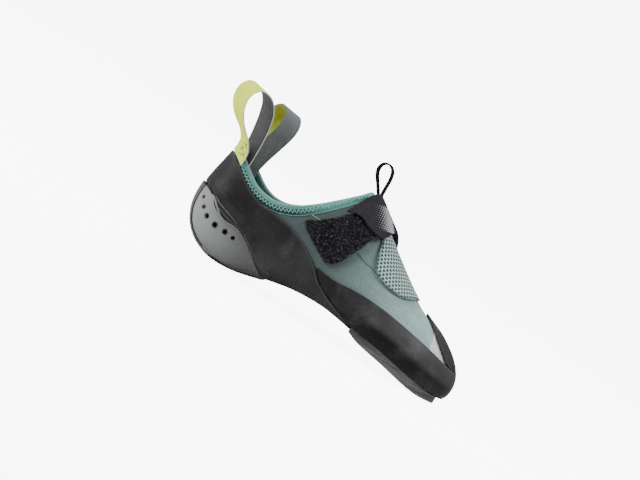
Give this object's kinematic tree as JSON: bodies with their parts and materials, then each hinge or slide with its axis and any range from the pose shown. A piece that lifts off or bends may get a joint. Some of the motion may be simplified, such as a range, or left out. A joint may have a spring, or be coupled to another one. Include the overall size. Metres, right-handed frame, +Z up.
{
  "type": "climbing shoe",
  "caption": "Right climbing shoe with a padded knit collar, one closure strap over the instep, two heel pull loops, a moulded heel cup and a down-turned rubber toe.",
  "frame": {"origin": "middle of the flat spot under the heel, on the floor", "axes": "+X along the shoe towards the toe, -Y towards the outer side of the foot, +Z up from the floor"},
  "size_m": [0.2712, 0.0929, 0.1429],
  "materials": {
    "upper": "brushed sage green microfibre",
    "knit": "sage green spacer mesh with dark eyelets",
    "binding": "ribbed teal knit edging",
    "insole": "dark lining over a thin board",
    "rubber": "matte black",
    "outsole": "matte black with a ground grey edge",
    "heel_rubber": "moulded satin grey",
    "loop_pile": "black loop pile of a hook and loop closure",
    "strap": "smooth charcoal fabric over a thin core",
    "webbing": "woven webbing, pale yellow green and grey",
    "tape": "narrow black woven tape"
  },
  "bodies": {
    "root": {"upper": "upper", "insole": "insole", "outsole": "outsole", "instep_panel": "knit", "heel_sling": "rubber", "toe_rand": "rubber", "toe_patch": "rubber", "heel_cup_outer": "heel_rubber", "heel_cup_inner": "heel_rubber", "heel_band": "rubber", "strap_pad": "loop_pile", "strap": "strap", "collar_binding": "binding", "pull_loop_outer": "webbing", "pull_loop_inner": "webbing", "tongue_loop": "tape"}
  },
  "joints": []
}
